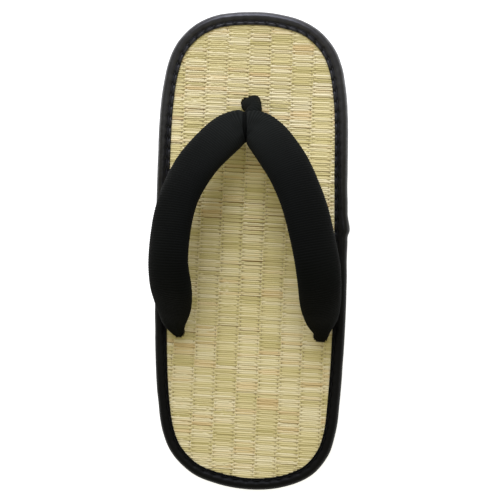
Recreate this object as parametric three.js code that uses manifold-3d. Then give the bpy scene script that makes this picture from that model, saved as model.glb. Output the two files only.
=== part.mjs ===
import * as THREE from "three";
import { mergeVertices } from "three/addons/utils/BufferGeometryUtils.js";
import Module from "manifold-3d";

const wasm = await Module();
wasm.setup();

// Sizes in mm: across runs to the big-toe side, along runs to the toe, height runs up
const TOE_TIP = { across: 0.3, along: 129.4 };
const HEEL_TIP = { across: 3.3, along: -130 };
// Half widths of the outline at stations along the sole
const SOLE_ROWS = [
  { along: 128, outer: 18.2, inner: 15.2 },
  { along: 122.5, outer: 31.1, inner: 32.3 },
  { along: 112, outer: 41.4, inner: 43.8 },
  { along: 100, outer: 46.4, inner: 49.4 },
  { along: 80, outer: 49.8, inner: 52.4 },
  { along: 40, outer: 51.8, inner: 52.6 },
  { along: 0, outer: 52.5, inner: 52.4 },
  { along: -40, outer: 52.6, inner: 51.3 },
  { along: -80, outer: 50.9, inner: 48.5 },
  { along: -100, outer: 47.8, inner: 46 },
  { along: -111, outer: 42.8, inner: 42.1 },
  { along: -121.5, outer: 32.2, inner: 33.4 },
  { along: -127.8, outer: 15.4, inner: 19.9 },
];
const HALF_STEPS = 44; // outline pieces from toe tip to heel tip
const LAYER_GAP = 0.3; // room kept between neighbouring pieces
const HOLE_ROOM = 0.6; // room round the straps where they go down into the pad
const WELD = 0.02; // slivers smaller than this are merged

// Sole block
const SOLE_THICK = 11;
const HEEL_RISE = 4;
const RISE_FROM = 40;
const RISE_TO = -85;
const TOE_SPRING = 3.5;
const SPRING_FROM = 70;
const SOLE_INSET = 1;
const EDGE_CHAMFER = 0.8;
const GROOVE_WIDTH = 3;
const GROOVE_DEPTH = 1.6;
const GROOVE_PITCH = 12;
const FOREFOOT_GROOVES = { first: 18, count: 8 };
const HEEL_GROOVES = { first: -112, count: 6 };
const WAIST = { from: -40, to: 6, depth: 1 };

// Footbed pad and its edge tape, measured inwards from the outline and up from the straw
const PAD_THICK = 6.3;
const ROLL = { inset: 3.1, height: -2.2, radiusAcross: 3.1, radiusUp: 4.1 };
const TAPE_THICK = 0.9;
const TUCK_REACH = 7;
const LIP = { from: 5.9, to: 7.2, under: 0.3, top: 1 };
const STITCH_GROOVE = { inset: 5.3, height: 0.5 };
const LAP = { along: 11, rise: 1.2, slow: 9, quick: 4.5, steps: 9, shift: 0.37 };
const LAP_SWELL = { fullBy: 0.2, fullTo: 0.6, goneBy: 0.9 }; // shares of the way round the roll
const ROLL_BOTTOM = 1.5 * Math.PI;
const ROLL_STEPS = 9;
const LINING_STEPS = 6;

// Strap sections: the pinched fold, then each arm from the fold to its tail
const FOLD = { across: -1.8, along: 65.8, height: 13, width: 13.4, thick: 9, lean: 12 };
const OUTER_ARM = [
  { across: -4.5, along: 66, height: 13.3, width: 18.3, thick: 12.8, lean: 12 },
  { across: -8.6, along: 64, height: 14.7, width: 20.7, thick: 13.2, lean: 14 },
  { across: -13.1, along: 60.3, height: 18, width: 22.5, thick: 13, lean: 18 },
  { across: -21.4, along: 51.5, height: 23, width: 23.6, thick: 12.6, lean: 23 },
  { across: -28.8, along: 40.9, height: 28, width: 24.2, thick: 12.4, lean: 26 },
  { across: -35.1, along: 27, height: 33, width: 23.4, thick: 12.2, lean: 28 },
  { across: -38.6, along: 10, height: 36, width: 23.6, thick: 12, lean: 28 },
  { across: -40, along: -5.6, height: 36, width: 24, thick: 12, lean: 27 },
  { across: -39.2, along: -18.6, height: 31, width: 24.2, thick: 11.6, lean: 22 },
  { across: -39.4, along: -29, height: 21, width: 20.2, thick: 10.5, lean: 14 },
  { across: -40.1, along: -37.2, height: 11, width: 14.4, thick: 9, lean: 6 },
  { across: -39.6, along: -42.2, height: 4, width: 8.8, thick: 7.4, lean: 0 },
  { across: -39.2, along: -44.3, height: -1, width: 6.2, thick: 6.6, lean: 0 },
  { across: -39, along: -45, height: -6, width: 6, thick: 6.4, lean: 0 },
];
const INNER_ARM = [
  { across: 0.9, along: 66.15, height: 13.3, width: 17.4, thick: 12.8, lean: 12 },
  { across: 5.5, along: 64.5, height: 14.7, width: 19.8, thick: 13.2, lean: 14 },
  { across: 9.9, along: 60, height: 18, width: 22.7, thick: 13, lean: 18 },
  { across: 16.8, along: 50.5, height: 23, width: 24.6, thick: 12.6, lean: 23 },
  { across: 23.3, along: 40.1, height: 28, width: 24.9, thick: 12.4, lean: 26 },
  { across: 29.4, along: 25.5, height: 33, width: 24.7, thick: 12.2, lean: 28 },
  { across: 34.3, along: 8.4, height: 36, width: 24.8, thick: 12, lean: 28 },
  { across: 37.1, along: -6.4, height: 36, width: 25.2, thick: 12, lean: 27 },
  { across: 38.4, along: -19.2, height: 31, width: 23.8, thick: 11.6, lean: 22 },
  { across: 38.5, along: -30.4, height: 21, width: 21.2, thick: 10.5, lean: 14 },
  { across: 38.5, along: -38, height: 11, width: 16.5, thick: 9, lean: 6 },
  { across: 38.6, along: -44, height: 4, width: 9.2, thick: 7.4, lean: 0 },
  { across: 37.9, along: -46.9, height: -1, width: 7.4, thick: 6.6, lean: 0 },
  { across: 37.7, along: -47.7, height: -6, width: 7, thick: 6.4, lean: 0 },
];
const ARM_STEPS = 2; // sections from row to row
const AROUND = 18;
const SQUARENESS = 2.3; // 2 is an ellipse
const UNDERSIDE = 0.85; // flatter below than above

// Toe loop: a band in the crease of the fold, and a post down into the pad
const POST_ROWS = [
  { across: -1.2, along: 70.8, height: 13.2, width: 6, thick: 5, lean: 0 },
  { across: 2.1, along: 73.4, height: 12.2, width: 8.4, thick: 6.6, lean: 0 },
  { across: 3, along: 76, height: 9.8, width: 7.6, thick: 7.4, lean: 0 },
  { across: 1, along: 78.6, height: 5.6, width: 9.6, thick: 7.3, lean: 0 },
  { across: 0.1, along: 79.9, height: 0.5, width: 11, thick: 7, lean: 0 },
  { across: 0.1, along: 80.3, height: -6, width: 10, thick: 6.8, lean: 0 },
];
const POST_STEPS = 2;
const BAND = { width: 2.4, thick: 2.2, bite: 0.4, around: 24, section: 8 };

const smooth = (from, to, value) => THREE.MathUtils.smoothstep(value, from, to);
const spring = (along) => TOE_SPRING * Math.max(0, (along - SPRING_FROM) /
  (TOE_TIP.along - SPRING_FROM)) ** 2;
const wedge = (along) => HEEL_RISE * (1 - smooth(RISE_TO, RISE_FROM, along));
const bed = (along) => SOLE_THICK + LAYER_GAP + PAD_THICK + spring(along) + wedge(along);

function outlineCurve() {
  const at = (across, along) => new THREE.Vector3(across, along, 0);
  const innerSide = SOLE_ROWS.map((row) => at(row.inner, row.along));
  const outerSide = SOLE_ROWS.map((row) => at(-row.outer, row.along)).reverse();
  const points = [at(TOE_TIP.across, TOE_TIP.along), ...innerSide,
    at(HEEL_TIP.across, HEEL_TIP.along), ...outerSide];
  const curve = new THREE.CatmullRomCurve3(points, true, "centripetal");
  curve.arcLengthDivisions = points.length * HALF_STEPS;
  return { curve, heelShare: (innerSide.length + 1) / points.length };
}

// Shares of the outline, the same count on both sides so that they pair up across
function outlineSamples(extra = []) {
  const { curve, heelShare } = outlineCurve();
  const lengths = curve.getLengths();
  const heel = lengths[Math.round(heelShare * (lengths.length - 1))] / lengths.at(-1);
  const shares = [...extra];
  for (let i = 0; i < HALF_STEPS; i += 1) {
    shares.push(heel * i / HALF_STEPS, heel + (1 - heel) * i / HALF_STEPS);
  }
  return shares.sort((a, b) => a - b).map((share) => {
    const point = curve.getPointAt(share);
    const run = curve.getTangentAt(share);
    return { share, point, out: new THREE.Vector2(-run.y, run.x).normalize() };
  });
}

function meshGeometry(points, faces) {
  const geometry = new THREE.BufferGeometry();
  geometry.setAttribute("position", new THREE.Float32BufferAttribute(points.flat(), 3));
  geometry.setIndex(faces.flat());
  return geometry;
}

// Joins ring k to ring k + 1; every ring has the same count of points
function bandFaces(rings, count, closedAround) {
  const faces = [];
  const last = closedAround ? rings : rings - 1;
  for (let k = 0; k < last; k += 1) {
    const next = (k + 1) % rings;
    for (let i = 0; i < count; i += 1) {
      const j = (i + 1) % count;
      const [a, b, c, d] = [k * count + i, k * count + j, next * count + j, next * count + i];
      faces.push([a, b, c], [a, c, d]);
    }
  }
  return faces;
}

// A flat-topped block inside the outline; each rim row is { inset, height(along) }
function slab(rims) {
  const samples = outlineSamples();
  const count = samples.length;
  const points = rims.flatMap((rim) => samples.map(({ point, out }) => {
    const along = point.y - out.y * rim.inset;
    return [point.x - out.x * rim.inset, along, rim.height(along)];
  }));
  const faces = bandFaces(rims.length, count, false);
  const lid = (start, flip) => {
    for (let i = 0; i < HALF_STEPS; i += 1) {
      const [a, b] = [start + i, start + i + 1];
      const [c, d] = [start + (count - i) % count, start + count - i - 1];
      const pair = [[a, b, d], [a, d, c]].filter((f) => new Set(f).size === 3);
      faces.push(...pair.map((f) => (flip ? f.reverse() : f)));
    }
  };
  lid(0, true);
  lid((rims.length - 1) * count, false);
  return meshGeometry(points, faces);
}

function solid(geometry) {
  const mesh = new wasm.Mesh({
    numProp: 3,
    vertProperties: new Float32Array(geometry.attributes.position.array),
    triVerts: new Uint32Array(geometry.index.array),
  });
  return new wasm.Manifold(mesh);
}

function fromSolid(body) {
  const mesh = body.getMesh();
  const geometry = new THREE.BufferGeometry();
  geometry.setAttribute("position", new THREE.BufferAttribute(mesh.vertProperties, 3));
  geometry.setIndex(new THREE.BufferAttribute(mesh.triVerts, 1));
  return geometry;
}

function block(from, to, depth) {
  const along = (from + to) / 2;
  const geometry = new THREE.BoxGeometry(TOE_TIP.along - HEEL_TIP.along, to - from, 2 * depth);
  geometry.translate(0, along, spring(along));
  geometry.deleteAttribute("normal");
  geometry.deleteAttribute("uv");
  return solid(mergeVertices(geometry));
}

function outsole() {
  const top = (along) => SOLE_THICK + spring(along) + wedge(along);
  let body = solid(slab([
    { inset: SOLE_INSET + EDGE_CHAMFER, height: top },
    { inset: SOLE_INSET, height: (along) => top(along) - EDGE_CHAMFER },
    { inset: SOLE_INSET, height: (along) => spring(along) + EDGE_CHAMFER },
    { inset: SOLE_INSET + EDGE_CHAMFER, height: spring },
  ]));
  for (const group of [FOREFOOT_GROOVES, HEEL_GROOVES]) {
    for (let k = 0; k < group.count; k += 1) {
      const along = group.first + k * GROOVE_PITCH;
      body = body.subtract(block(along - GROOVE_WIDTH / 2, along + GROOVE_WIDTH / 2, GROOVE_DEPTH));
    }
  }
  return fromSolid(body.subtract(block(WAIST.from, WAIST.to, WAIST.depth)));
}

function rollPoint(angle, grow) {
  return {
    inset: ROLL.inset + (ROLL.radiusAcross + grow) * Math.cos(angle),
    height: ROLL.height + (ROLL.radiusUp + grow) * Math.sin(angle),
  };
}

// Angle on the roll, on the side away from the outline, at a height
const rollAngle = (height, grow) => Math.asin((height - ROLL.height) / (ROLL.radiusUp + grow));

function insole() {
  const edge = -TAPE_THICK - LAYER_GAP;
  const upper = Math.PI - rollAngle(0, edge);
  const rims = [];
  for (let k = 0; k <= LINING_STEPS; k += 1) {
    rims.push(rollPoint(upper + (ROLL_BOTTOM - upper) * k / LINING_STEPS, edge));
  }
  const step = TUCK_REACH + LAYER_GAP;
  rims.push({ inset: step, height: rims.at(-1).height }, { inset: step, height: -PAD_THICK });
  const body = solid(slab(rims.map(({ inset, height }) => (
    { inset, height: (along) => bed(along) + height }))));
  const tails = strapRows();
  const cutters = [
    loft([beyond(tails[0], tails[1]), ...tails, beyond(tails.at(-1), tails.at(-2))],
      ARM_STEPS, HOLE_ROOM),
    loft([...POST_ROWS, beyond(POST_ROWS.at(-1), POST_ROWS.at(-2))], POST_STEPS, HOLE_ROOM),
  ];
  return fromSolid(cutters.reduce((left, cutter) => left.subtract(solid(cutter)), body));
}

function lapRise(sample) {
  const away = sample.point.y - LAP.along;
  if (sample.point.x < 0) return 0;
  return LAP.rise * (away > 0 ? 1 - smooth(0, LAP.slow, away) : smooth(-LAP.quick, 0, away));
}

function tapeSection(lap) {
  const section = [];
  const to = rollAngle(STITCH_GROOVE.height, 0);
  for (let k = 0; k <= ROLL_STEPS; k += 1) {
    const share = k / ROLL_STEPS;
    const swell = smooth(0, LAP_SWELL.fullBy, share)
      * (1 - smooth(LAP_SWELL.fullTo, LAP_SWELL.goneBy, share));
    section.push(rollPoint(ROLL_BOTTOM + (to - ROLL_BOTTOM) * share, lap * swell));
  }
  section.push({ inset: LIP.from, height: LIP.top }, { inset: LIP.to - TAPE_THICK / 3, height: LIP.top });
  section.push({ inset: LIP.to, height: (LIP.top + LIP.under) / 2 }, { inset: LIP.to, height: LIP.under });
  const back = rollAngle(LIP.under, -TAPE_THICK);
  for (let k = 0; k <= LINING_STEPS; k += 1) {
    section.push(rollPoint(back + (ROLL_BOTTOM - back) * k / LINING_STEPS, -TAPE_THICK));
  }
  const tuck = section.at(-1).height;
  section.push({ inset: TUCK_REACH, height: tuck }, { inset: TUCK_REACH, height: -PAD_THICK });
  return section;
}

function binding() {
  const { curve } = outlineCurve();
  const total = curve.getLength();
  const samples = outlineSamples();
  const nearest = samples.filter(({ point }) => point.x > 0).reduce((best, sample) => (
    Math.abs(sample.point.y - LAP.along) < Math.abs(best.point.y - LAP.along) ? sample : best));
  const extra = [];
  for (let k = 0; k < LAP.steps; k += 1) {
    const run = -LAP.slow + (LAP.slow + LAP.quick) * (k + LAP.shift) / LAP.steps;
    extra.push(nearest.share + (nearest.point.y - LAP.along + run) / total);
  }
  const rings = outlineSamples(extra);
  const points = rings.flatMap((sample) => tapeSection(lapRise(sample)).map(({ inset, height }) => {
    const along = sample.point.y - sample.out.y * inset;
    return [sample.point.x - sample.out.x * inset, along, bed(along) + height];
  }));
  return meshGeometry(points, bandFaces(rings.length, points.length / rings.length, true));
}

// One more row straight on from the last, so that a cutter runs out past the pad
function beyond(last, before) {
  return Object.fromEntries(Object.keys(last).map((key) => [key, 2 * last[key] - before[key]]));
}

const strapRows = () => [...OUTER_ARM.toReversed(), FOLD, ...INNER_ARM];

// A padded tube through the rows; heights are above the footbed, lean drops the outer edge
function loft(rows, steps, grow) {
  const path = new THREE.CatmullRomCurve3(rows.map((row) => (
    new THREE.Vector3(row.across, row.along, row.height + bed(row.along)))), false, "centripetal");
  const size = new THREE.CatmullRomCurve3(rows.map((row) => (
    new THREE.Vector3(row.width, row.thick, row.lean))), false, "centripetal");
  const count = (rows.length - 1) * steps;
  const points = [];
  for (let k = 0; k <= count; k += 1) {
    const centre = path.getPoint(k / count);
    const run = path.getTangent(k / count);
    const { x: width, y: thick, z: lean } = size.getPoint(k / count);
    const tilt = THREE.MathUtils.degToRad(lean);
    const facing = new THREE.Vector2(-run.y, run.x).normalize().multiplyScalar(Math.cos(tilt));
    const wide = new THREE.Vector3(facing.x, facing.y, -Math.sin(tilt));
    wide.addScaledVector(run, -wide.dot(run)).normalize();
    const tall = new THREE.Vector3().crossVectors(run, wide);
    for (let i = 0; i < AROUND; i += 1) {
      const angle = 2 * Math.PI * i / AROUND;
      const bow = (value) => Math.sign(value) * Math.abs(value) ** (2 / SQUARENESS);
      const deep = Math.sin(angle) < 0 ? UNDERSIDE : 1;
      const point = centre.clone()
        .addScaledVector(wide, (width / 2 + grow) * bow(Math.cos(angle)))
        .addScaledVector(tall, (thick / 2 + grow) * deep * bow(Math.sin(angle)));
      points.push(point.toArray());
    }
  }
  const faces = bandFaces(count + 1, AROUND, false);
  const end = count * AROUND;
  for (let i = 1; i < AROUND - 1; i += 1) {
    faces.push([0, i + 1, i], [end, end + i, end + i + 1]);
  }
  return meshGeometry(points, faces);
}

function bandRing() {
  const points = [];
  for (let k = 0; k < BAND.around; k += 1) {
    const turn = 2 * Math.PI * k / BAND.around;
    for (let i = 0; i < BAND.section; i += 1) {
      const angle = 2 * Math.PI * i / BAND.section;
      const out = BAND.thick / 2 * (1 + Math.cos(angle)) - BAND.bite;
      points.push([FOLD.across - BAND.width / 2 * Math.sin(angle),
        FOLD.along + (FOLD.width / 2 + out) * Math.cos(turn),
        bed(FOLD.along) + FOLD.height + (FOLD.thick / 2 + out) * Math.sin(turn)]);
    }
  }
  return meshGeometry(points, bandFaces(BAND.around, BAND.section, true));
}

// The crease walls are steep, so the strap is also cut away a little to each side
function toeLoop() {
  const loop = solid(bandRing()).add(solid(loft(POST_ROWS, POST_STEPS, 0)));
  const strap = solid(loft(strapRows(), ARM_STEPS, LAYER_GAP));
  const room = [-LAYER_GAP, 0, LAYER_GAP].map((shift) => strap.translate([shift, 0, 0]));
  return fromSolid(room.reduce((left, cutter) => left.subtract(cutter), loop).simplify(WELD));
}

function piece(name, geometry, color, roughness) {
  geometry.computeVertexNormals();
  const mesh = new THREE.Mesh(geometry, new THREE.MeshStandardMaterial({ color, roughness }));
  mesh.name = name;
  return mesh;
}

const sandal = new THREE.Group();
sandal.name = "zori_sandal";
sandal.add(
  piece("outsole", outsole(), 0x1c1c1d, 0.8),
  piece("insole", insole(), 0xcbbd91, 0.6),
  piece("binding", binding(), 0x232324, 0.45),
  piece("strap", loft(strapRows(), ARM_STEPS, 0), 0x141515, 0.85),
  piece("toe_loop", toeLoop(), 0x161717, 0.85),
);

export default sandal;
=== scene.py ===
import math
import bpy
import numpy as np
from mathutils import Matrix, Vector


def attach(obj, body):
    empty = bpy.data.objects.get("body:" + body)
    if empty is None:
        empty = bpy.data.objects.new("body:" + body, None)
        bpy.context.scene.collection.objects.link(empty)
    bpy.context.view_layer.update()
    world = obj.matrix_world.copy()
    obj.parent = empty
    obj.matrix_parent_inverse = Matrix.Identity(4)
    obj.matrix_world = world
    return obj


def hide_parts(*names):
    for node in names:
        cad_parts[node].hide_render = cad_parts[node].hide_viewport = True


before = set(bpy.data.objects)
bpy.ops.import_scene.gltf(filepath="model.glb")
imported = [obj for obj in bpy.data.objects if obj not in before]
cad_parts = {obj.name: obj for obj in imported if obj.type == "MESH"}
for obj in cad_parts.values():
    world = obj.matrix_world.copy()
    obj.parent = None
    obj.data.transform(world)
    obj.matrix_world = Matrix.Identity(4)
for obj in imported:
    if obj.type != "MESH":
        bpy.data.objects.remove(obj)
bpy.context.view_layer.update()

mm = 0.001
print("frame loaded:", sorted(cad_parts))


def addObject(name, data):
    item = bpy.data.objects.new(name, data)
    bpy.context.scene.collection.objects.link(item)
    return item


# Camera: straight above, a little to the big-toe side, as the photograph has it
cameraSetup = {"place": (0.0565, -0.002, 0.7186), "target": (-0.0004, 0.0, 0.0186),
               "fieldOfView": 21.9, "sensor": 36}


def makeCamera(setup):
    data = bpy.data.cameras.new("camera")
    data.sensor_width = setup["sensor"]
    data.lens = setup["sensor"] / 2 / math.tan(math.radians(setup["fieldOfView"] / 2))
    camera = addObject("camera", data)
    ahead = (Vector(setup["target"]) - Vector(setup["place"])).normalized()
    right = ahead.cross(Vector((0, 1, 0))).normalized()
    up = right.cross(ahead)
    camera.matrix_world = Matrix((right, up, -ahead)).transposed().to_4x4()
    camera.location = setup["place"]
    bpy.context.scene.camera = camera


makeCamera(cameraSetup)


# Node trees: a wire is a socket that takes part in arithmetic
class Wire:
    def __init__(self, tree, socket=None):
        self.tree, self.socket = tree, socket

    def make(self, kind, settings=None, inputs=None, output=0):
        node = self.tree.nodes.new(kind)
        for name, value in (settings or {}).items():
            if name == "stops":
                ramp = node.color_ramp.elements
                while len(ramp) < len(value):
                    ramp.new(1)
                for stop, (place, colour) in zip(ramp, value):
                    stop.position, stop.color = place, (*colour, 1)
            else:
                setattr(node, name, value)
        for name, value in (inputs or {}).items():
            slot = node.inputs[name]
            if isinstance(value, Wire):
                self.tree.links.new(value.socket, slot)
            else:
                slot.default_value = value
        return Wire(self.tree, node.outputs[output] if len(node.outputs) else None)

    def part(self, output):  # another output of the same node
        return Wire(self.tree, self.socket.node.outputs[output])

    def math(self, operation, *values):
        return self.make("ShaderNodeMath", {"operation": operation}, dict(enumerate(values)))

    def __add__(self, other):
        return self.math("ADD", self, other)

    def __sub__(self, other):
        return self.math("SUBTRACT", self, other)

    def __rsub__(self, other):
        return self.math("SUBTRACT", other, self)

    def __mul__(self, other):
        return self.math("MULTIPLY", self, other)

    def __truediv__(self, other):
        return self.math("DIVIDE", self, other)

    def __neg__(self):
        return self.math("MULTIPLY", self, -1.0)

    def bell(self, width):  # 1 at zero, falling away over the width
        ratio = self / width
        return self.math("EXPONENT", -(ratio * ratio))

    def step(self, low, high):  # smooth 0 to 1
        return self.make("ShaderNodeMapRange", {"interpolation_type": "SMOOTHSTEP"},
                         {"Value": self, "From Min": low, "From Max": high})

    def vector(self, x, y, z):
        return self.make("ShaderNodeCombineXYZ", None, {0: x, 1: y, 2: z})

    def axes(self, vector):
        first = self.make("ShaderNodeSeparateXYZ", None, {0: vector})
        return first, first.part(1), first.part(2)

    def place(self):  # a finish's object coordinates, in metres
        return self.make("ShaderNodeTexCoord", None, None, 3)

    def painted(self, name):  # a finish's point value from the mesh
        return self.make("ShaderNodeAttribute", {"attribute_name": name}, None, 2)

    def stored(self, name):  # a geometry tree's point value
        return self.make("GeometryNodeInputNamedAttribute", {"data_type": "FLOAT"}, {"Name": name})

    def blend(self, factor, first, second, mode="MIX"):  # two colours
        return self.make("ShaderNodeMix", {"data_type": "RGBA", "blend_type": mode},
                         {0: factor, 6: first, 7: second}, 2)

    def noise(self, place, scale, detail=2.0):
        return self.make("ShaderNodeTexNoise", None, {"Vector": place, "Scale": scale, "Detail": detail})


def newMaterial(name, constants):
    material = bpy.data.materials.new(name)
    material.use_nodes = True
    tree = material.node_tree
    shader = tree.nodes["Principled BSDF"]
    for socket, value in constants.items():
        shader.inputs[socket].default_value = value
    wires = Wire(tree)

    def feed(socket, value):
        tree.links.new(value.socket, shader.inputs[socket])

    def bump(height, distance, strength=1.0):
        inputs = {"Height": height, "Distance": distance, "Strength": strength}
        feed("Normal", wires.make("ShaderNodeBump", None, inputs))
    return material, wires, feed, bump


def newTree(name, labels):  # a geometry tree with a float input for each label
    tree = bpy.data.node_groups.new(name, "GeometryNodeTree")
    tree.interface.new_socket("Geometry", in_out="INPUT", socket_type="NodeSocketGeometry")
    for label in labels:
        tree.interface.new_socket(label, in_out="INPUT", socket_type="NodeSocketFloat")
    tree.interface.new_socket("Geometry", in_out="OUTPUT", socket_type="NodeSocketGeometry")
    entry = tree.nodes.new("NodeGroupInput")
    given = {s.name: Wire(tree, s) for s in entry.outputs if s.name}
    return tree, Wire(tree), given


def evenCurve(wires, given):  # the source's edges as curves of evenly spaced points
    curve = wires.make("GeometryNodeMeshToCurve", None, {0: given["Geometry"]})
    return wires.make("GeometryNodeResampleCurve", {"mode": "LENGTH"},
                      {"Curve": curve, "Length": given["Spacing"]})


def closeTree(wires, geometry, material):
    solid = wires.make("GeometryNodeRealizeInstances", None, {0: geometry})
    solid = wires.make("GeometryNodeSetShadeSmooth", None, {"Geometry": solid})
    solid = wires.make("GeometryNodeSetMaterial", None, {"Geometry": solid, "Material": material})
    wires.make("NodeGroupOutput", None, {0: solid})


def growTree(source, tree, values, name):  # runs the tree on a mesh and keeps the plain result
    modifier = source.modifiers.new("grow", "NODES")
    modifier.node_group = tree
    for item in tree.interface.items_tree:
        if item.in_out == "INPUT" and item.name in values:
            modifier[item.identifier] = values[item.name]
    graph = bpy.context.evaluated_depsgraph_get()
    mesh = bpy.data.meshes.new_from_object(source.evaluated_get(graph))
    source.modifiers.remove(modifier)
    bpy.data.objects.remove(source)
    mesh.name = name
    return addObject(name, mesh)


def meshPiece(name, points, faces, material=None, edges=()):  # points in mm
    mesh = bpy.data.meshes.new(name)
    mesh.from_pydata((np.asarray(points) * mm).tolist(), list(edges), [list(f) for f in faces])
    mesh.validate()
    if material:
        mesh.materials.append(material)
    mesh.shade_smooth()
    return addObject(name, mesh)


def pointValues(piece, name, values):
    layer = piece.data.attributes.new(name, "FLOAT", "POINT")
    layer.data.foreach_set("value", np.asarray(values, np.float32))


def clothLay(piece, u, v):  # each point's place on the cloth, in mm
    layer = piece.data.uv_layers.new(name="lay")
    corner = np.array([c.vertex_index for c in piece.data.loops])
    layer.data.foreach_set("uv", np.column_stack([u[corner], v[corner]]).astype(np.float32).ravel())


def ringFaces(rings, count, closed):  # joins ring after ring, each with the same count of points
    k = np.arange(rings if closed else rings - 1)[:, None]
    i = np.arange(count)[None, :]
    after, beside = (k + 1) % rings, (i + 1) % count
    quads = [k * count + i, k * count + beside, after * count + beside, after * count + i]
    return np.stack(quads, -1).reshape(-1, 4).tolist()


def dress(piece, replaced=None):
    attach(piece, "root")
    if replaced:
        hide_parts(replaced)
    print(piece.name, "triangles", sum(len(p.vertices) - 2 for p in piece.data.polygons))


# Shared forms of the sole, in mm as in the CAD
sole = {
    "toeTip": (0.3, 129.4), "heelTip": (3.3, -130),
    # along, outer half width, inner half width
    "rows": [(128, 18.2, 15.2), (122.5, 31.1, 32.3), (112, 41.4, 43.8), (100, 46.4, 49.4),
             (80, 49.8, 52.4), (40, 51.8, 52.6), (0, 52.5, 52.4), (-40, 52.6, 51.3), (-80, 50.9, 48.5),
             (-100, 47.8, 46), (-111, 42.8, 42.1), (-121.5, 32.2, 33.4), (-127.8, 15.4, 19.9)],
    "bed": 17.6, "heelRise": 4, "riseFrom": 40, "riseTo": -85, "toeSpring": 3.5, "springFrom": 70,
}
curveSteps = 8001  # samples that measure a curve's length
nudge = 1e-4  # share to each side that gives a curve's direction


def smooth(low, high, value):
    share = np.clip((np.asarray(value, float) - low) / (high - low), 0, 1)
    return share * share * (3 - 2 * share)


def trough(turn):  # 0 on each crest, -1 between crests
    return 0.5 * np.cos(turn) - 0.5


def bedAt(along):  # height of the straw's top
    along = np.asarray(along, float)
    reach = sole["toeTip"][1] - sole["springFrom"]
    spring = sole["toeSpring"] * np.clip((along - sole["springFrom"]) / reach, 0, None) ** 2
    return sole["bed"] + spring + sole["heelRise"] * (1 - smooth(sole["riseTo"], sole["riseFrom"], along))


def splineAt(points, shares, closed=False):  # centripetal curve through the points
    points = np.asarray(points, float)
    if closed:
        spread = np.vstack([points[-1:], points, points[:2]])
        spans = len(points)
    else:
        spread = np.vstack([2 * points[0] - points[1], points, 2 * points[-1] - points[-2]])
        spans = len(points) - 1
    place = np.clip(np.asarray(shares, float), 0, 1) * spans
    k = np.minimum(np.floor(place).astype(int), spans - 1)
    w = (place - k)[:, None]
    a, b, c, d = (spread[k + j] for j in range(4))
    g0, g1, g2 = (np.maximum(np.linalg.norm(q - p, axis=1, keepdims=True) ** 0.5, 1e-6)
                  for p, q in ((a, b), (b, c), (c, d)))
    leave = ((b - a) / g0 - (c - a) / (g0 + g1) + (c - b) / g1) * g1
    reach = ((c - b) / g1 - (d - b) / (g1 + g2) + (d - c) / g2) * g1
    square, cube = 3 * (c - b) - 2 * leave - reach, 2 * (b - c) + leave + reach
    return b + leave * w + square * w ** 2 + cube * w ** 3


def evenShares(points, lengths, closed=False):  # shares at lengths along the curve, or a count of them
    fine = np.linspace(0, 1, curveSteps)
    steps = np.linalg.norm(np.diff(splineAt(points, fine, closed), axis=0), axis=1)
    run = np.r_[0, np.cumsum(steps)]
    if np.isscalar(lengths):
        lengths = np.arange(lengths) / (lengths if closed else lengths - 1) * run[-1]
    return np.interp(lengths, run, fine), np.asarray(lengths), run[-1]


def soleEdge(count, extra=()):  # outline points, outward directions and lengths round it
    rows = sole["rows"]
    ring = [sole["toeTip"], *((inner, along) for along, _, inner in rows), sole["heelTip"],
            *((-outer, along) for along, outer, _ in reversed(rows))]
    shares, lengths, _ = evenShares(ring, count, True)
    if len(extra):
        shares, lengths, _ = evenShares(ring, np.sort(np.r_[lengths, extra]), True)
    points = splineAt(ring, shares, True)
    run = splineAt(ring, (shares + nudge) % 1, True) - splineAt(ring, (shares - nudge) % 1, True)
    out = np.stack([-run[:, 1], run[:, 0]], -1)
    return points, out / np.linalg.norm(out, axis=1, keepdims=True), lengths


def insetEdge(count, inset):  # the outline drawn in by the inset
    ring, out, _ = soleEdge(count)
    return ring - out * inset


def crossings(level):  # points of a closed ring after which its level changes sign
    return np.nonzero(np.sign(level) != np.sign(np.roll(level, -1)))[0]


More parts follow.
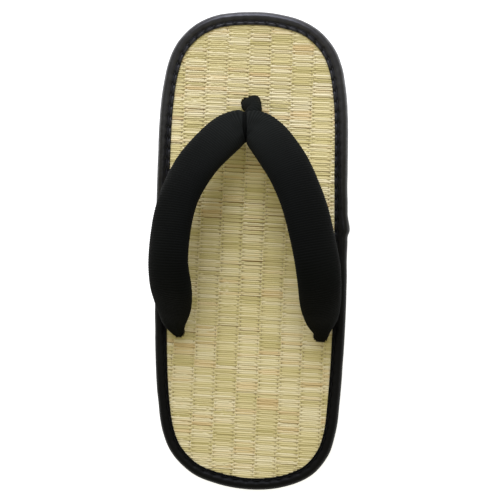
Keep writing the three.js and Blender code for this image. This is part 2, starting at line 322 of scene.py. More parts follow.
# Straw: the pad's body, the rush rows and the warp threads that hold them
straw = {
    "pitch": 1.05, "slope": -0.045, "inset": 6.1, "sink": 0.5, "width": 0.78, "thickness": 0.44,
    "sides": 6, "flatness": 0.55, "spacing": 1.4, "wander": 1.5, "widthVary": 0.1, "lift": 0.36,
    "shortest": 1.5, "rowZero": 140, "edgeSteps": 720,
    "warpPitch": 11.66, "warpAt": -4.8, "warpSlant": 0.04, "warpPairs": 6, "warpStep": 4,
    "pairGap": 1.8, "dipDepth": 0.2, "dipWidth": 0.85,
    "thread": 0.21, "threadSides": 4, "threadWave": 0.24, "threadSpacing": 0.38, "threadInset": 0.4,
    "threadDrop": 1.2, "holeMargin": 1.2, "padTop": -1.2, "padThick": 6.3, "padSteps": 240,
    # hole centres and half sizes where the straps go down
    "holes": [(-39.2, -44.1, 3.4, 3.4), (37.9, -46.8, 4, 3.5), (0.1, 79.9, 5.7, 3.7)],
    # middle and reach of the patches of stronger painted lines, painted shade and painted light, and where
    # the heel's fainter lines begin
    "linedAt": (-2, 35), "linedReach": (45, 40), "paintedShadeAt": (3, -2), "paintedShadeReach": (26, 45),
    "nookLightAt": 50, "nookLightReach": 18, "heelFrom": -30, "heelTo": -80,
    # stem colours from olive to brown, then what is mixed over them
    "stems": [(0.0, (0.54, 0.465, 0.19)), (0.25, (0.62, 0.535, 0.25)), (0.5, (0.67, 0.58, 0.295)),
              (0.68, (0.76, 0.68, 0.435)), (0.84, (0.69, 0.56, 0.285)), (1.0, (0.63, 0.475, 0.225))],
    "litColour": (0.86, 0.78, 0.52, 1), "gapShadowColour": (0.25, 0.165, 0.05, 1),
    "seamColour": (0.30, 0.21, 0.07, 1), "dipShadeColour": (0.26, 0.19, 0.08, 1),
    "nookLightTint": (1.22, 1.21, 1.08, 1), "paintedShadeTint": (0.86, 0.845, 0.7, 1),
}


def strawFinish():
    material, wires, feed, bump = newMaterial("straw", {"Specular IOR Level": 0.3})
    x, y, _ = wires.axes(wires.place())
    row, dip, shift = (wires.painted(name) for name in ("row", "dip", "shift"))
    across = (x - y * straw["warpSlant"] - straw["warpAt"] * mm) / (straw["warpPitch"] * mm)
    column = across.math("FLOOR", across)
    local = (y - shift - x * straw["slope"]) / (straw["pitch"] * mm) - row + (straw["rowZero"] - 0.5)
    odd = row.math("FLOORED_MODULO", row, 2.0)
    pairAt = (odd + local) * 0.5 - 0.25  # -0.5 to 0.5 over two stems
    cell = wires.make("ShaderNodeTexWhiteNoise", None, {"Vector": wires.vector(row - odd, column, 3.0)})
    gapChance, depthChance, edgeChance = wires.axes(cell.part(1))
    block = wires.noise(wires.vector(column * 9.7, row * 0.12, 4.0), 1.0, 1.0)
    streak = wires.noise(wires.vector(x * 45.0 + row * 3.1, local * 1.6, row + column * 5.0), 1.0)
    fibre = wires.noise(wires.vector(x * 40.0, local * 4.0, row), 1.0)
    ripple = wires.noise(wires.vector(column * 6.1, row * 0.2, 9.0), 1.0, 1.0)

    def patch(at, reach):  # 1 in the middle of a patch
        return (x - at[0] * mm).bell(reach[0] * mm) * (y - at[1] * mm).bell(reach[1] * mm)

    lined = patch(straw["linedAt"], straw["linedReach"])  # deeper painted gap shadows and stronger lit edges near the fold
    paintedShade = patch(straw["paintedShadeAt"], straw["paintedShadeReach"])  # painted shade: darker and yellower between the arms, where their shadow falls
    nookLight = (y - straw["nookLightAt"] * mm).bell(straw["nookLightReach"] * mm) * lined  # painted light: paler in the nook behind the fold
    heel = y.step(straw["heelFrom"] * mm, straw["heelTo"] * mm)  # fainter painted gap shadows and lit edges towards the heel
    rough = ripple.step(0.35, 0.62)  # 0 where a stretch lies flat
    gap = gapChance.step(0.80, 0.98)  # the few pairs that leave an open line below
    depth = depthChance * (rough * 0.25 + lined * 0.68 + 0.24) + gap * 0.85
    # painted shadow: a dark line along the lower edge of each pair of stems, deepest where a gap opens
    under = pairAt.step(-0.14, -0.42) * depth * (1.0 - heel * 0.4)
    seam = (pairAt - (edgeChance - 0.5) * 0.3).bell(0.06) * depthChance.step(0.4, 1.0)
    over = pairAt.step(0.18, 0.42) * edgeChance.step(0.35, 1.0)  # the lit upper edge
    tone = (block - 0.5) * 1.5 + (cell - 0.5) * 0.6 + (streak - 0.5) * 0.7 + 0.5
    colour = wires.make("ShaderNodeValToRGB", {"stops": straw["stems"]}, {0: tone})
    colour = wires.blend(over * (lined * 0.6 - heel * 0.2 + 0.4), colour, straw["litColour"])
    colour = wires.blend(under, colour, straw["gapShadowColour"])
    colour = wires.blend(seam * 0.2, colour, straw["seamColour"])
    # painted shade where the warp threads hold the stems down
    colour = wires.blend(dip * 0.22, colour, straw["dipShadeColour"])
    # painted light in the nook behind the fold
    colour = wires.blend(nookLight, colour, straw["nookLightTint"], "MULTIPLY")
    # painted shade between the arms
    feed("Base Color", wires.blend(paintedShade, colour, straw["paintedShadeTint"], "MULTIPLY"))
    feed("Roughness", streak * 0.25 + 0.42)
    bulge = 1.0 - pairAt * pairAt * 4.0
    bump(bulge * (rough * 0.6 + 0.25) + fibre * 0.3 - under * 0.7 - seam * 0.3, 0.0002, 0.3)
    return material


def threadFinish():
    material, wires, feed, bump = newMaterial("warp_thread", {"Roughness": 0.8})
    fuzz = wires.noise(wires.place(), 900.0, 3.0)
    feed("Base Color", wires.blend(fuzz, (0.22, 0.17, 0.09, 1), (0.36, 0.285, 0.16, 1)))
    bump(fuzz, 0.0001)
    return material


def padFinish():
    material, wires, feed, bump = newMaterial("pad", {"Roughness": 0.9})
    felt = wires.noise(wires.place(), 700.0, 4.0)
    feed("Base Color", wires.blend(felt, (0.16, 0.125, 0.06, 1), (0.26, 0.2, 0.1, 1)))
    bump(felt, 0.0002)
    return material


def strawTree(material, labels):
    tree, wires, given = newTree("strawRows", labels)
    curve = evenCurve(wires, given)
    place = wires.make("GeometryNodeInputPosition")
    x, y, _ = wires.axes(place)
    row = wires.stored("row")
    across = (x - y * given["Warp slant"] - given["Warp at"]) / given["Warp pitch"]
    odd = row.math("FLOORED_MODULO", row, 2.0)
    shifted = across + (odd - 0.5) * given["Pair gap"] / given["Warp pitch"] + 0.5
    offset = (shifted.math("FRACT", shifted) - 0.5) * given["Warp pitch"]
    dip = offset.bell(given["Dip width"])  # 1 where a warp thread holds the stem down
    column = across.math("FLOOR", across)
    chance = wires.make("ShaderNodeTexWhiteNoise", None, {"Vector": wires.vector(row, column, 5.0)})
    widthChance, liftChance, _ = wires.axes(chance.part(1))
    drift = wires.noise(wires.vector(column * 5.3, row * 0.09, 2.0), 1.0, 1.0)
    shift = (drift - 0.5) * given["Wander"]
    block = wires.noise(wires.vector(column * 9.7, row * 0.3, 8.0), 1.0, 1.0)
    rise = (block - 0.5 + (liftChance - 0.5) * 0.3) * given["Lift"] - dip * given["Dip depth"]
    breadth = ((widthChance - 0.5) * given["Width vary"] + 1.0) * (1.0 - dip * 0.05)
    for name, value in (("dip", dip), ("shift", shift), ("breadth", breadth)):
        curve = wires.make("GeometryNodeStoreNamedAttribute", {"data_type": "FLOAT", "domain": "POINT"},
                           {"Geometry": curve, "Name": name, "Value": value})
    curve = wires.make("GeometryNodeSetPosition", None,
                       {"Geometry": curve, "Offset": wires.vector(0.0, shift, rise)})
    curve = wires.make("GeometryNodeSetCurveNormal", {"mode": "Z_UP"}, {"Curve": curve})
    ring = wires.make("GeometryNodeCurvePrimitiveCircle", {"mode": "RADIUS"},
                      {"Resolution": straw["sides"], "Radius": 1.0})
    ring = wires.make("GeometryNodeTransform", None,
                      {"Geometry": ring, "Rotation": (0.0, 0.0, math.pi / straw["sides"])})
    side, up, _ = wires.axes(place)
    flat = up.math("SIGN", up) * up.math("POWER", up.math("ABSOLUTE", up), straw["flatness"])
    section = wires.vector(side * given["Width"], flat * given["Thickness"], 0.0)
    ring = wires.make("GeometryNodeSetPosition", None, {"Geometry": ring, "Position": section})
    tube = wires.make("GeometryNodeCurveToMesh", None, {
        "Curve": curve, "Profile Curve": ring, "Scale": wires.stored("breadth"), "Fill Caps": True})
    closeTree(wires, tube, material)
    return tree


def threadTree(material, labels):
    tree, wires, given = newTree("warpThreads", labels)
    turn = wires.stored("turn")
    wave = turn.math("COSINE", turn * math.pi) * given["Wave"]  # over one stem and under the next
    curve = wires.make("GeometryNodeSetPosition", None,
                       {"Geometry": evenCurve(wires, given), "Offset": wires.vector(0.0, 0.0, wave)})
    ring = wires.make("GeometryNodeCurvePrimitiveCircle", {"mode": "RADIUS"},
                      {"Resolution": straw["threadSides"], "Radius": given["Thread"]})
    tube = wires.make("GeometryNodeCurveToMesh", None,
                      {"Curve": curve, "Profile Curve": ring, "Fill Caps": True})
    closeTree(wires, tube, material)
    return tree


def rowAlong(row, x):  # the middle line of a row
    return straw["slope"] * x + (row + 0.5) * straw["pitch"]


def clearSpans(row, low, high):  # cuts the holes out of one row
    spans = [(low, high)]
    for cx, cy, rx, ry in straw["holes"]:
        near = (rowAlong(row, cx) - cy) / ry
        if abs(near) < 1:
            half = rx * math.sqrt(1 - near * near)
            sides = [s for a, b in spans for s in ((a, min(b, cx - half)), (max(a, cx + half), b))]
            spans = [(a, b) for a, b in sides if b - a > straw["shortest"]]
    return spans


def strawRows(inset):
    ring = insetEdge(straw["edgeSteps"], inset)
    points, edges, rows = [], [], []
    for i in range(-straw["rowZero"], straw["rowZero"] + 1):
        level = ring[:, 1] - rowAlong(i, ring[:, 0])
        turns = crossings(level)
        if len(turns) < 2:
            continue
        ends = []
        for k in turns:
            n = (k + 1) % len(ring)
            share = level[k] / (level[k] - level[n])
            ends.append(ring[k, 0] + (ring[n, 0] - ring[k, 0]) * share)
        for span in clearSpans(i, min(ends), max(ends)):
            for x in span:
                along = rowAlong(i, x)
                points.append((x, along, float(bedAt(along)) - straw["sink"]))
                rows.append(i + straw["rowZero"])
            edges.append((len(points) - 2, len(points) - 1))
    return points, edges, rows


def overHole(x, y):
    margin = straw["holeMargin"]
    return any(((x - cx) / rx) ** 2 + ((y - cy) / ry) ** 2 < margin for cx, cy, rx, ry in straw["holes"])


def warpLines(inset):
    ring = insetEdge(straw["edgeSteps"], inset)
    points, edges, turns = [], [], []
    for j in range(-straw["warpPairs"], straw["warpPairs"] + 1):
        for side in (-1, 1):
            start = straw["warpAt"] + j * straw["warpPitch"] + side * straw["pairGap"] / 2
            ends = [ring[k, 1] for k in crossings(ring[:, 0] - straw["warpSlant"] * ring[:, 1] - start)]
            if len(ends) < 2:
                continue
            count = int((max(ends) - min(ends)) / straw["warpStep"]) + 2
            for n, y in enumerate(np.linspace(min(ends), max(ends), count)):
                x = start + straw["warpSlant"] * y
                sink = straw["sink"] + (straw["threadDrop"] if overHole(x, y) else 0)
                points.append((x, y, float(bedAt(y)) - sink))
                turns.append((y - straw["slope"] * x) / straw["pitch"] - 0.5 + (0 if side > 0 else 1))
                if n:
                    edges.append((len(points) - 2, len(points) - 1))
    return points, edges, turns


def padBody(material):
    ring, out, _ = soleEdge(straw["padSteps"])
    # inset and height below the straw's top, from the top edge round to the underside
    rims = [(2.1, straw["padTop"]), (1.5, -2.2), (1.7, -3.6), (2.4, -4.7), (3.1, -5.1), (7.3, -5.1),
            (7.3, -straw["padThick"])]
    points = []
    for inset, height in rims:
        edge = ring - out * inset
        points += np.column_stack([edge, bedAt(edge[:, 1]) + height]).tolist()
    count = len(ring)
    faces = ringFaces(len(rims), count, False)
    for start, flip in ((0, True), ((len(rims) - 1) * count, False)):
        for i in range(count // 2):  # a strip across, from one side to the other
            face = [start + k % count for k in (i, i + 1, count - i - 1, count - i)]
            face = list(dict.fromkeys(face))
            if len(face) > 2:
                faces.append(face[::-1] if flip else face)
    return meshPiece("footbed_pad", points, faces, material)


def makeFootbed():
    dress(padBody(padFinish()), "insole")
    points, edges, rows = strawRows(straw["inset"])
    source = meshPiece("straw_source", points, [], None, edges)
    pointValues(source, "row", rows)
    sizes = {"Warp pitch": "warpPitch", "Warp at": "warpAt", "Pair gap": "pairGap", "Dip depth": "dipDepth",
             "Dip width": "dipWidth", "Width": "width", "Thickness": "thickness", "Spacing": "spacing",
             "Wander": "wander", "Lift": "lift"}
    values = {label: straw[key] * mm for label, key in sizes.items()}
    values.update({"Warp slant": straw["warpSlant"], "Width vary": straw["widthVary"]})
    dress(growTree(source, strawTree(strawFinish(), values), values, "straw_rows"))
    points, edges, turns = warpLines(straw["inset"] + straw["threadInset"])
    source = meshPiece("thread_source", points, [], None, edges)
    pointValues(source, "turn", turns)
    sizes = {"Spacing": "threadSpacing", "Wave": "threadWave", "Thread": "thread"}
    values = {label: straw[key] * mm for label, key in sizes.items()}
    dress(growTree(source, threadTree(threadFinish(), values), values, "warp_threads"))


makeFootbed()


# Edge tape: rolled round the pad, stitched along a lip, lapped on the big-toe side
tape = {
    "rollInset": 3.1, "rollHeight": -2.2, "radiusAcross": 3.1, "radiusUp": 4.1, "thick": 0.9, "tuck": 7,
    "rollSteps": 30, "backSteps": 10, "around": 760,
    "lipFrom": 5.9, "lipTo": 7.2, "lipUnder": 0.3, "lipTop": 1.0, "lipPoints": 8, "groove": 0.5,
    # what the lip's width gains at the toe and at the heel, and along which stretch
    "lipToe": 0.2, "lipToeSpan": (30, 120), "lipHeel": -0.6, "lipHeelSpan": (10, -90),
    "lapAlong": 11, "lapRise": 1.2, "lapSlow": 9, "lapQuick": 4.5, "lapSpan": (-9, 6), "lapSteps": 24,
    "pull": 0.42, "pullFrom": 0.72, "pullPoints": 6,
    "stitchPitch": 5.9, "stitchLength": 4.6, "stitchThick": 0.4, "stitchInset": 5.42, "stitchHeight": 0.76,
    "stitchSteps": 400, "stitchSlack": 0.9995,  # so that rounding takes no stitch off the count
    # depth, length and phase of the outer face's unevenness, which ends at the straw and at the pad's foot
    "sways": [(0.10, 7.3, 0), (0.07, 3.1, 1), (0.08, 17.0, 2)], "swaySpan": (6.5, 2.5), "swayAbove": -4,
}


def tapeFinish():
    constants = {"Specular IOR Level": 0.06, "Coat Roughness": 0.32}
    material, wires, feed, bump = newMaterial("edge_tape", constants)
    place = wires.place()
    _, along, _ = wires.axes(place)
    lip, hole = (wires.painted(name) for name in ("lip", "hole"))
    grain = wires.make("ShaderNodeTexVoronoi", {"feature": "DISTANCE_TO_EDGE"},
                       {"Vector": place, "Scale": 1100.0})
    pebble = grain.step(0.0, 0.28)
    cloudy = wires.noise(place, 60.0, 4.0)
    fine = wires.noise(place, 2400.0)
    mottle = wires.noise(place, 330.0).step(0.4, 0.75)  # slack patches between the stitches
    deep = wires.blend(cloudy, (0.0018, 0.0018, 0.002, 1), (0.0055, 0.0056, 0.006, 1))
    toeSheen = wires.blend(cloudy, (0.008, 0.008, 0.011, 1), (0.022, 0.022, 0.028, 1))
    # painted highlight: paler and bluer towards the toe, where the lamps reflect
    colour = wires.blend(along.step(0.02, 0.12), deep, toeSheen)
    # painted shade in the dips at the needle holes
    feed("Base Color", wires.blend(hole, colour, (0.0015, 0.0015, 0.002, 1)))
    feed("Roughness", cloudy * 0.16 + fine * 0.1 + 0.36)
    coat = along.step(-0.03, 0.1) * (mottle * 0.3 + 0.68) + 0.02 + cloudy * 0.04
    feed("Coat Weight", coat * (1.0 - lip * 0.22) * (1.0 - hole * 0.8))
    bump(pebble * 0.7 + fine * 0.3 + mottle * 2.5, 0.00006, 0.6)
    return material


def rollPoint(angle, grow):
    return (tape["rollInset"] + (tape["radiusAcross"] + grow) * math.cos(angle),
            tape["rollHeight"] + (tape["radiusUp"] + grow) * math.sin(angle))


def tapeSection(lap, pull, along):  # inset and height of each point round the tape
    section = []
    sink = tape["pull"] * pull  # drawn down at the stitch holes
    start = 1.5 * math.pi
    stop = math.asin((tape["groove"] - tape["rollHeight"]) / tape["radiusUp"])
    for k in range(tape["rollSteps"] + 1):  # outer face, from the underside over the top to the groove
        share = k / tape["rollSteps"]
        grow = lap * float(smooth(0, 0.2, share)) * (1 - float(smooth(0.6, 0.9, share)))
        grow -= sink * float(smooth(tape["pullFrom"], 1, share))
        section.append(rollPoint(start + (stop - start) * share, grow))
    top, under, low = tape["lipTop"] - sink, tape["lipUnder"], tape["lipFrom"]
    gain = tape["lipToe"] * smooth(*tape["lipToeSpan"], along)
    gain += tape["lipHeel"] * smooth(*tape["lipHeelSpan"], along)
    high = tape["lipTo"] + float(gain)
    # lip: groove, rounded edge, flat top, rounded edge, down to the straw
    section += [(low - 0.32, tape["groove"] - sink), (low - 0.12, top - 0.22), (low + 0.1, top - 0.03),
                (low + 0.3, top), (high - 0.3, top), (high - 0.12, top - 0.08), (high, top - 0.28),
                (high, under)]
    back = math.asin((under - tape["rollHeight"]) / (tape["radiusUp"] - tape["thick"]))
    for k in range(tape["backSteps"] + 1):  # inner face
        section.append(rollPoint(back + (start - back) * k / tape["backSteps"], -tape["thick"]))
    tuckTop = section[-1][1]
    return section + [(tape["tuck"], tuckTop), (tape["tuck"], -straw["padThick"])]


def lapAt(x, y):  # extra thickness where the tape's ends lie over each other
    if x < 0:
        return 0.0
    away = y - tape["lapAlong"]
    share = 1 - smooth(0, tape["lapSlow"], away) if away > 0 else smooth(-tape["lapQuick"], 0, away)
    return tape["lapRise"] * float(share)


def stitchRun(line):  # lengths along the closed stitch line, and the pitch that divides it evenly
    steps = np.linalg.norm(np.roll(line, -1, 0) - line, axis=1)
    total = steps.sum()
    return np.r_[0, np.cumsum(steps)[:-1]], total / round(total / tape["stitchPitch"])


def tapeBody(material):
    ring, _, lengths = soleEdge(tape["around"])
    onInner = np.where(ring[:, 0] < 0, np.inf, np.abs(ring[:, 1] - tape["lapAlong"]))
    extra = lengths[np.argmin(onInner)] + np.linspace(*tape["lapSpan"], tape["lapSteps"])
    ring, out, lengths = soleEdge(tape["around"], extra)  # closer sections over the lap
    run, pitch = stitchRun(ring - out * tape["stitchInset"])
    pulls = (0.5 - 0.5 * np.cos(2 * np.pi * run / pitch)) ** 3  # 1 at the needle holes between stitches
    points = []
    for (x, y), (nx, ny), s, pull in zip(ring, out, lengths, pulls):
        sway = min(sum(depth * math.sin(s / span + phase) for depth, span, phase in tape["sways"]), 0)
        for inset, height in tapeSection(lapAt(x, y), pull, y):
            if height > tape["swayAbove"]:
                inset -= sway * float(smooth(*tape["swaySpan"], inset))
            across, along = x - nx * inset, y - ny * inset
            points.append((across, along, float(bedAt(along)) + height))
    count = len(points) // len(ring)
    piece = meshPiece("edge_binding", points, ringFaces(len(ring), count, True), material)
    lip, hole = np.zeros((2, len(ring), count))
    groove = tape["rollSteps"]  # the last point of the outer face
    lip[:, groove + 1:groove + 1 + tape["lipPoints"]] = 1
    hole[:, groove:groove + tape["pullPoints"]] = pulls[:, None]
    pointValues(piece, "lip", lip.ravel())
    pointValues(piece, "hole", hole.ravel())
    return piece


def stitchFinish():
    constants = {"Roughness": 0.7, "Specular IOR Level": 0.15}
    material, wires, feed, bump = newMaterial("stitch_thread", constants)
    place = wires.place()
    _, along, _ = wires.axes(place)
    ply = wires.noise(place, 2600.0)
    deep = wires.blend(ply, (0.001, 0.001, 0.0012, 1), (0.005, 0.005, 0.0055, 1))
    toeSheen = wires.blend(ply, (0.012, 0.012, 0.015, 1), (0.032, 0.032, 0.037, 1))
    # painted highlight: paler towards the toe, as on the tape
    feed("Base Color", wires.blend(along.step(0.0, 0.1), deep, toeSheen))
    bump(ply, 0.00008)
    return material


def stitchTree(material, labels):
    tree, wires, given = newTree("stitches", labels)
    curve = wires.make("GeometryNodeMeshToCurve", None, {0: given["Geometry"]})
    spots = wires.make("GeometryNodeCurveToPoints", {"mode": "LENGTH"},
                       {"Curve": curve, "Length": given["Pitch"]})
    bead = wires.make("GeometryNodeMeshUVSphere", None, {"Segments": 8, "Rings": 6, "Radius": 1.0})
    scale = wires.vector(given["Thread"], given["Thread"] * 0.8, given["Length"] * 0.5)
    bead = wires.make("GeometryNodeTransform", None, {"Geometry": bead, "Scale": scale})
    turned = wires.make("FunctionNodeAlignRotationToVector", {"axis": "Z"}, {"Vector": spots.part(1)})
    beads = wires.make("GeometryNodeInstanceOnPoints", None,
                       {"Points": spots, "Instance": bead, "Rotation": turned})
    closeTree(wires, beads, material)
    return tree


def makeBinding():
    dress(tapeBody(tapeFinish()), "binding")
    line = insetEdge(tape["stitchSteps"], tape["stitchInset"])
    _, pitch = stitchRun(line)
    points = np.column_stack([line, bedAt(line[:, 1]) + tape["stitchHeight"]])
    edges = [(i, (i + 1) % len(points)) for i in range(len(points))]
    source = meshPiece("stitch_source", points, [], None, edges)
    values = {"Pitch": pitch * tape["stitchSlack"] * mm, "Length": tape["stitchLength"] * mm,
              "Thread": tape["stitchThick"] * mm}
    dress(growTree(source, stitchTree(stitchFinish(), values), values, "binding_stitches"))


makeBinding()


# Strap: two padded arms in ribbed cloth, pinched together at the fold
strap = {
    # across, along, height, width, thickness, lean of each section, from the fold to the tail
    "fold": (-1.8, 65.8, 13, 13.4, 9, 12),
    "outer": [(-4.5, 66, 13.3, 18.3, 12.8, 12), (-8.6, 64, 14.7, 20.7, 13.2, 14),
              (-13.1, 60.3, 18, 22.5, 13, 18), (-21.4, 51.5, 23, 23.6, 12.6, 23),
              (-28.8, 40.9, 28, 24.2, 12.4, 26), (-35.1, 27, 33, 23.4, 12.2, 28),
              (-38.6, 10, 36, 23.6, 12, 28), (-40, -5.6, 36, 24, 12, 27),
              (-39.2, -18.6, 31, 24.2, 11.6, 22), (-39.4, -29, 21, 20.2, 10.5, 14),
              (-40.1, -37.2, 11, 14.4, 9, 6), (-39.6, -42.2, 4, 8.8, 7.4, 0),
              (-39.2, -44.3, -1, 6.2, 6.6, 0), (-39, -45, -6, 6, 6.4, 0)],
    "inner": [(0.9, 66.15, 13.3, 17.4, 12.8, 12), (5.5, 64.5, 14.7, 19.8, 13.2, 14),
              (9.9, 60, 18, 22.7, 13, 18), (16.8, 50.5, 23, 24.6, 12.6, 23),
              (23.3, 40.1, 28, 24.9, 12.4, 26), (29.4, 25.5, 33, 24.7, 12.2, 28),
              (34.3, 8.4, 36, 24.8, 12, 28), (37.1, -6.4, 36, 25.2, 12, 27),
              (38.4, -19.2, 31, 23.8, 11.6, 22), (38.5, -30.4, 21, 21.2, 10.5, 14),
              (38.5, -38, 11, 16.5, 9, 6), (38.6, -44, 4, 9.2, 7.4, 0), (37.9, -46.9, -1, 7.4, 6.6, 0),
              (37.7, -47.7, -6, 7, 6.4, 0)],
    "around": 44, "squareness": 2.3, "underside": 0.85, "ribPitch": 1.25, "ribHeight": 0.22, "perRib": 4,
    # pleats gathered at the tails, puckers beside the fold, and where each fades
    "gather": 0.4, "pleats": 7, "gatherSpan": (10, 34),
    "pucker": 0.35, "puckers": 9, "puckerIn": (1, 4), "puckerOut": (6, 20),
    "slacks": [(0.16, 11, 2), (0.1, 5.3, -3)], "shrink": 0.1, "fill": 0.85,
    "dark": (0.0004, 0.0006, 0.0005, 1), "light": (0.0052, 0.0059, 0.0055, 1),
    "foldLightColour": (0.0118, 0.0132, 0.0124, 1), "foldLightReach": 30.0, "yarnPitch": 0.7,
}


def clothFinish(name, dark, light, pitch, fold=None):
    constants = {"Specular IOR Level": 0.05, "Sheen Weight": 0.01, "Sheen Roughness": 0.5}
    material, wires, feed, bump = newMaterial(name, constants)
    u, v, _ = wires.axes(wires.make("ShaderNodeUVMap", {"uv_map": "lay"}))  # in mm
    yarn = v.math("SINE", v * (2 * math.pi / strap["yarnPitch"]))  # yarns crossing each rib
    rib = u.math("COSINE", u * (2 * math.pi / pitch)) * 0.5 + 0.5
    fuzz = wires.noise(wires.vector(u * 2.2, v * 2.2, 0.0), 1.0, 4.0)
    patch = wires.noise(wires.vector(u * 0.05, v * 0.05, 0.0), 1.0, 3.0)
    colour = wires.blend(fuzz * 0.3 + patch * 0.25 + rib * 0.3, dark, light)
    if fold:  # painted light: paler where the arms meet, most on the rib crests, at the top that faces the lamps
        near = (u - fold).bell(strap["foldLightReach"])
        colour = wires.blend(near * (rib * 0.6 + 0.4), colour, strap["foldLightColour"])
    feed("Base Color", colour)
    feed("Roughness", fuzz * 0.2 + 0.7)
    bump(yarn * 0.3 + fuzz * 0.7, 0.00012, 0.6)
    return material


def tubeAlong(rows, setup, steps, shape):  # padded tube through sections like the strap's
    rows = np.asarray(rows, float)
    path = rows[:, :3].copy()
    path[:, 2] += bedAt(path[:, 1])
    shares, lengths, total = evenShares(path, steps)
    centre, size = splineAt(path, shares), splineAt(rows[:, 3:], shares)
    run = splineAt(path, shares + nudge) - splineAt(path, shares - nudge)
    run /= np.linalg.norm(run, axis=1, keepdims=True)
    lean = np.radians(size[:, 2])
    facing = np.stack([-run[:, 1], run[:, 0]], -1)
    facing /= np.linalg.norm(facing, axis=1, keepdims=True)
    wide = np.column_stack([facing * np.cos(lean)[:, None], -np.sin(lean)])
    wide -= run * np.sum(wide * run, axis=1, keepdims=True)
    wide /= np.linalg.norm(wide, axis=1, keepdims=True)
    tall = np.cross(run, wide)
    angle = 2 * np.pi * np.arange(setup["around"]) / setup["around"]

    def bow(value):  # squarer than a circle
        return np.sign(value) * np.abs(value) ** (2 / setup["squareness"])

    push = shape(lengths[:, None], angle[None, :], total)
    deep = np.where(np.sin(angle) < 0, setup["underside"], 1)
    sideways = (size[:, :1] / 2 + push) * bow(np.cos(angle))
    upwards = (size[:, 1:2] / 2 + push) * deep * bow(np.sin(angle))
    points = centre[:, None] + wide[:, None] * sideways[..., None] + tall[:, None] * upwards[..., None]
    return points.reshape(-1, 3), lengths


def tubePiece(name, points, lengths, around, material):
    rings = len(lengths)
    faces = ringFaces(rings, around, False)
    faces += [list(range(around))[::-1], list(range((rings - 1) * around, rings * around))]
    piece = meshPiece(name, points, faces, material)
    grid = points.reshape(rings, around, 3)
    girth = np.linalg.norm(np.roll(grid, -1, 1) - grid, axis=2)
    v = np.cumsum(np.c_[np.zeros(rings), girth[:, :-1]], axis=1)
    clothLay(piece, np.repeat(lengths, around), v.ravel())
    return piece


def makeStrap():
    rows = [*reversed(strap["outer"]), strap["fold"], *strap["inner"]]
    total = evenShares([r[:3] for r in rows], 2)[2]
    ribs = round(total / strap["ribPitch"])

    def puff(length, angle, total):
        rib = strap["ribHeight"] * trough(2 * np.pi * ribs * length / total)
        end = np.minimum(length, total - length)
        gather = strap["gather"] * (1 - smooth(*strap["gatherSpan"], end))
        pleat = gather * trough(strap["pleats"] * angle + 0.4 * np.sin(length / 9))
        middle = np.abs(length - total / 2)
        crease = smooth(*strap["puckerIn"], middle) * (1 - smooth(*strap["puckerOut"], middle))
        pucker = strap["pucker"] * crease * trough(strap["puckers"] * angle + length / 6)
        slack = sum(depth * np.sin(length / span + turns * angle) for depth, span, turns in strap["slacks"])
        return rib + pleat + pucker + slack - strap["shrink"]

    points, lengths = tubeAlong(rows, strap, ribs * strap["perRib"] + 1, puff)
    whole = lengths[-1]
    cloth = clothFinish("strap_cloth", strap["dark"], strap["light"], whole / ribs, whole / 2)
    piece = tubePiece("padded_strap", points, lengths, strap["around"], cloth)
    dress(piece, "strap")
    return cloth


strapCloth = makeStrap()


# Toe loop: a band in the crease and a post down into the straw
loop = {
    # across, along, height, width, thickness, lean of each section, from the band down
    "rows": [(-1.2, 70.8, 13.2, 6, 5, 0), (2.1, 73.4, 12.2, 8.4, 6.6, 0), (3, 76, 9.8, 7.6, 7.4, 0),
             (1, 78.6, 5.6, 9.6, 7.3, 0), (0.1, 79.9, 0.5, 11, 7, 0), (0.1, 80.3, -6, 10, 6.8, 0)],
    "around": 40, "squareness": 2.3, "underside": 0.85, "ribPitch": 1.25, "ribHeight": 0.18, "perRib": 5,
    "ribs": 21, "dark": (0.003, 0.0036, 0.0032, 1), "light": (0.012, 0.0138, 0.0124, 1),
    # length down the post, depth and width of the sewn seam below and of the lobe at the side
    "seam": (4.2, -0.5, 0.5), "seamBelow": 0.3, "lobe": (17, 0.3, 2), "lobeSpread": 0.8,
    "bandWidth": 2.2, "bandThick": 2.2, "bandBite": 0.4, "bandSteps": 96, "bandAround": 12,
    "bandLay": (0.5, 0.8),
}


def makePost():
    cloth = clothFinish("loop_cloth", loop["dark"], loop["light"], loop["ribPitch"])

    def swell(length, at, depth, width):
        return depth * np.exp(-((length - at) / width) ** 2)

    def weave(length, angle, total):
        rib = loop["ribHeight"] * trough(2 * np.pi * length / loop["ribPitch"])
        seam = swell(length, *loop["seam"]) * (np.sin(angle) < loop["seamBelow"])
        facing = np.angle(np.exp(1j * angle)) / loop["lobeSpread"]
        return rib + seam + swell(length, *loop["lobe"]) * np.exp(-facing ** 2)

    points, lengths = tubeAlong(loop["rows"], loop, loop["ribs"] * loop["perRib"], weave)
    post = tubePiece("toe_post", points, lengths, loop["around"], cloth)
    dress(post, "toe_loop")


def makeBand(cloth):
    across, along, height, width, thick, _ = strap["fold"]
    steps, around = loop["bandSteps"], loop["bandAround"]
    points = []
    for turn in np.linspace(0, 2 * math.pi, steps, endpoint=False):
        for angle in np.linspace(0, 2 * math.pi, around, endpoint=False):
            out = loop["bandThick"] / 2 * (1 + math.cos(angle)) - loop["bandBite"]
            points.append((across - loop["bandWidth"] / 2 * math.sin(angle),
                           along + (width / 2 + out) * math.cos(turn),
                           float(bedAt(along)) + height + (thick / 2 + out) * math.sin(turn)))
    band = meshPiece("toe_band", points, ringFaces(steps, around, True), cloth)
    index = np.arange(len(points))
    clothLay(band, index // around * loop["bandLay"][0], index % around * loop["bandLay"][1])
    dress(band)


makePost()
makeBand(strapCloth)


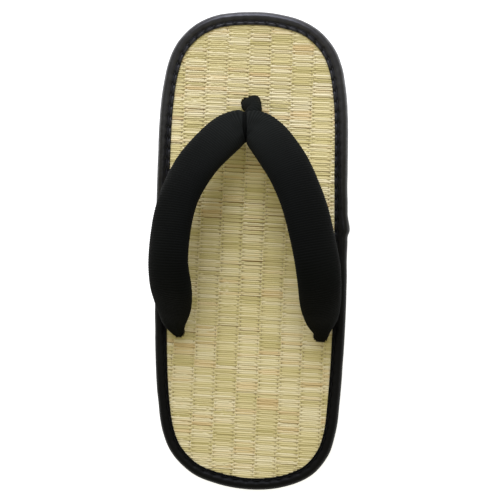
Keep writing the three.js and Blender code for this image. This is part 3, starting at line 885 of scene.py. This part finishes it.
# Outsole: the CAD block in matt foam rubber
def rubberFinish():
    material, wires, feed, bump = newMaterial("sole_rubber", {"Specular IOR Level": 0.35})
    place = wires.place()
    cells = wires.make("ShaderNodeTexVoronoi", {"feature": "F1"}, {"Vector": place, "Scale": 900.0})
    cloudy = wires.noise(place, 45.0, 4.0)
    feed("Base Color", wires.blend(cloudy, (0.014, 0.014, 0.0145, 1), (0.028, 0.028, 0.029, 1)))
    feed("Roughness", cloudy * 0.15 + 0.68)
    bump(cells * 0.6 + cloudy * 0.4, 0.00015, 0.6)
    return material


def finishOutsole():
    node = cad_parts["outsole"]
    node.data.materials.clear()
    node.data.materials.append(rubberFinish())
    print("outsole finished")


finishOutsole()


# Stage: a white floor under soft light from beyond the toe
stage = {
    "floor": (0.9, 0.9, 0.9, 1), "reach": 12.0, "glow": 0.75, "drop": -0.0003,
    "world": 0.55, "room": (1.0, 0.955, 0.72, 1), "lampColour": (0.95, 0.985, 1.2), "aim": (0, 0, 0.02),
    # power, place and size of each lamp
    "lamps": {"key": (4.8, (-0.06, 0.62, 0.62), 0.5), "low": (1.8, (-0.02, 0.85, 0.32), 0.45)},
}


def makeFloor():
    sides = ((-1, -1), (1, -1), (1, 1), (-1, 1))
    corners = [(x * stage["reach"], y * stage["reach"], stage["drop"]) for x, y in sides]
    mesh = bpy.data.meshes.new("floor")
    mesh.from_pydata(corners, [], [(0, 1, 2, 3)])
    material, *_ = newMaterial("floor", {
        "Roughness": 0.9, "Base Color": stage["floor"], "Specular IOR Level": 0.0,
        "Emission Color": (1, 1, 1, 1), "Emission Strength": stage["glow"]})
    mesh.materials.append(material)
    floor = addObject("floor", mesh)


def makeLight():
    world = bpy.data.worlds.new("studio")
    world.use_nodes = True
    background = world.node_tree.nodes["Background"]
    background.inputs["Color"].default_value = stage["room"]
    background.inputs["Strength"].default_value = stage["world"]
    bpy.context.scene.world = world
    for name, (power, place, size) in stage["lamps"].items():
        light = bpy.data.lights.new(name, "AREA")
        light.energy, light.size, light.color = power, size, stage["lampColour"]
        lamp = addObject(name, light)
        lamp.location = place
        lamp.rotation_euler = (Vector(stage["aim"]) - lamp.location).to_track_quat("-Z", "Y").to_euler()
    bpy.context.scene.view_settings.view_transform = "Standard"


makeFloor()
makeLight()
